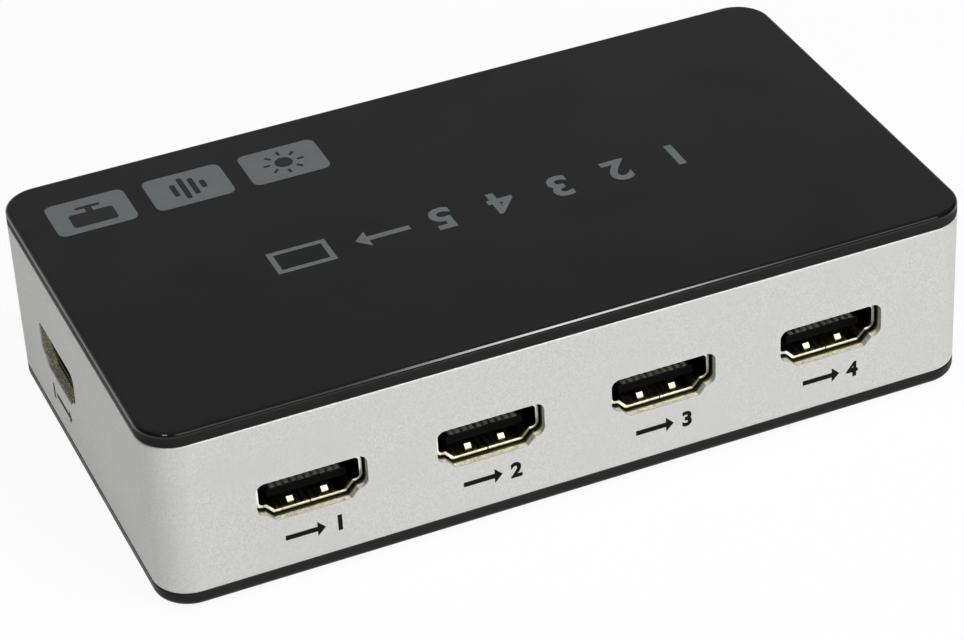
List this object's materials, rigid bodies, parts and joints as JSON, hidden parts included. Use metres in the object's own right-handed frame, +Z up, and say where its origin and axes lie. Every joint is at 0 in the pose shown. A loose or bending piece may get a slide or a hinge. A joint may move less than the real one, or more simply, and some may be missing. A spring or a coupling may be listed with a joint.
{
  "type": "video switch box",
  "caption": "Flat video switch box: gloss black lid and black base round a silver frame, with a row of input sockets, side sockets, power jack, sprung select button, lights and receiver window.",
  "frame": {"origin": "middle of the case's footprint, on the surface that the feet stand on", "axes": "+X along the length to the right of the four-socket face, +Y from the four-socket face to the button face, +Z up"},
  "size_m": [0.118, 0.066, 0.0286],
  "materials": {
    "lid_gloss_black": "gloss black moulded plastic",
    "frame_silver": "fine blasted silver",
    "base_black": "satin black moulded plastic",
    "screw_steel": "zinc plated",
    "foot_rubber": "matt black rubber",
    "board_green": "green solder mask",
    "button_black": "satin black",
    "switch_ivory": "ivory",
    "switch_black": "matt black",
    "tin_plate": "bright tin plating",
    "contact_gold": "gold plated",
    "shell_gold": "pale gold plated sheet",
    "insulator_black": "matt black moulding",
    "light_clear": "clear lens",
    "window_dark_red": "dark red filter",
    "chip_black": "moulded package",
    "jack_black": "matt black moulding",
    "crystal_can": "drawn can",
    "capacitor_sleeve": "aluminium can"
  },
  "bodies": {
    "case": {"top_cover": "lid_gloss_black", "side_frame": "frame_silver", "bottom_cover": "base_black", "case_screws": "screw_steel", "rubber_feet": "foot_rubber", "main_board": "board_green", "board_screws": "screw_steel", "switch_body": "switch_black", "switch_cover": "tin_plate", "switch_dome": "contact_gold", "switch_terminals": "tin_plate", "indicator_lights": "light_clear", "indicator_leads": "tin_plate", "receiver_window": "window_dark_red", "receiver_body": "chip_black", "receiver_leads": "tin_plate", "jack_body": "jack_black", "jack_pin": "tin_plate", "jack_spring": "tin_plate", "switching_chip": "chip_black", "switching_chip_leads": "tin_plate", "control_chip": "chip_black", "control_chip_leads": "tin_plate", "crystal": "crystal_can", "capacitors": "capacitor_sleeve", "regulator": "chip_black", "resistors": "chip_black", "input_1_shell": "shell_gold", "input_1_insulator": "insulator_black", "input_1_contacts": "contact_gold", "input_2_shell": "shell_gold", "input_2_insulator": "insulator_black", "input_2_contacts": "contact_gold", "input_3_shell": "shell_gold", "input_3_insulator": "insulator_black", "input_3_contacts": "contact_gold", "input_4_shell": "shell_gold", "input_4_insulator": "insulator_black", "input_4_contacts": "contact_gold", "input_5_shell": "shell_gold", "input_5_insulator": "insulator_black", "input_5_contacts": "contact_gold", "output_shell": "shell_gold", "output_insulator": "insulator_black", "output_contacts": "contact_gold"},
    "button": {"select_button": "button_black", "switch_stem": "switch_ivory"}
  },
  "joints": [
    {"name": "button_press", "type": "slide", "parent": "case", "child": "button", "axis": [0, -1, 0], "range_m": [0, 0.0004], "stiffness_N_per_m": 2000}
  ]
}
